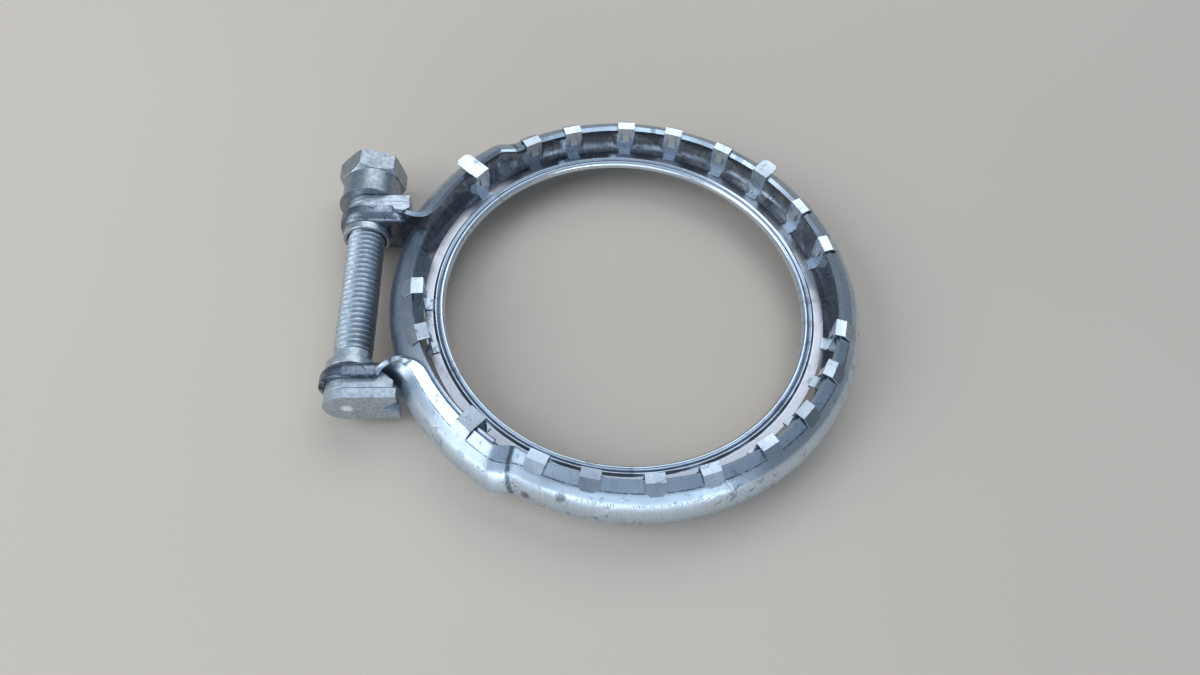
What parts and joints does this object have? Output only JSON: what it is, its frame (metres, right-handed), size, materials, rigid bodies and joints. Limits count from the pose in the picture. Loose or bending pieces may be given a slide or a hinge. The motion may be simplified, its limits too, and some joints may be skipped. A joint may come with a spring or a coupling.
{
  "type": "exhaust clamp",
  "caption": "Folded V-groove strap clamp for an exhaust flange joint, with a ring gasket held by spring clips, a T-bolt and a collar nut.",
  "frame": {"origin": "on the axis of the gasket bore, level with the middle of the strap's groove", "axes": "+Z along the ring axis, out of the side whose edge carries the clips; +Y along the bolt, from its head to its nut; +X away from the bolt"},
  "size_m": [0.1143, 0.0996, 0.0151],
  "materials": {
    "strap": "rolled stainless sheet, satin, with fine scratches",
    "bridge": "rolled stainless sheet, satin",
    "gasket": "embossed stainless sheet, satin",
    "clips": "spring sheet, bluish, satin",
    "bolt": "zinc-coated steel",
    "plates": "zinc-coated steel",
    "bushes": "turned, zinc-coated steel",
    "nut": "turned, zinc-coated steel"
  },
  "bodies": {
    "clamp": {"band": "strap", "bridge_piece": "bridge", "gasket_ring": "gasket", "clip_01": "clips", "clip_02": "clips", "clip_03": "clips", "clip_04": "clips", "clip_05": "clips", "clip_06": "clips", "clip_07": "clips", "clip_08": "clips", "clip_09": "clips", "clip_10": "clips", "clip_11": "clips", "clip_12": "clips", "clip_13": "clips", "clip_14": "clips", "clip_15": "clips", "clip_16": "clips", "clip_17": "clips", "clip_18": "clips", "clip_19": "clips", "clip_20": "clips", "t_bolt": "bolt", "lower_thrust_plate": "plates", "upper_thrust_plate_inner": "plates", "upper_bush": "bushes", "lower_bush": "bushes"},
    "nut_carriage": {"upper_thrust_plate_outer": "plates"},
    "nut": {"collar_nut": "nut"}
  },
  "joints": [
    {"name": "nut_travel", "type": "slide", "parent": "clamp", "child": "nut_carriage", "axis": [0, 1, 0], "range_m": [0, 0.00875]},
    {"name": "nut_spin", "type": "hinge", "parent": "nut_carriage", "child": "nut", "pos_m": [-0.0565, 0.031, 0], "axis": [0, 1, 0], "range_deg": [0, 2520]}
  ],
  "couplings": [
    {"joint": "nut_travel", "follows": "nut_spin", "m_per_rad": 0.00019894}
  ]
}
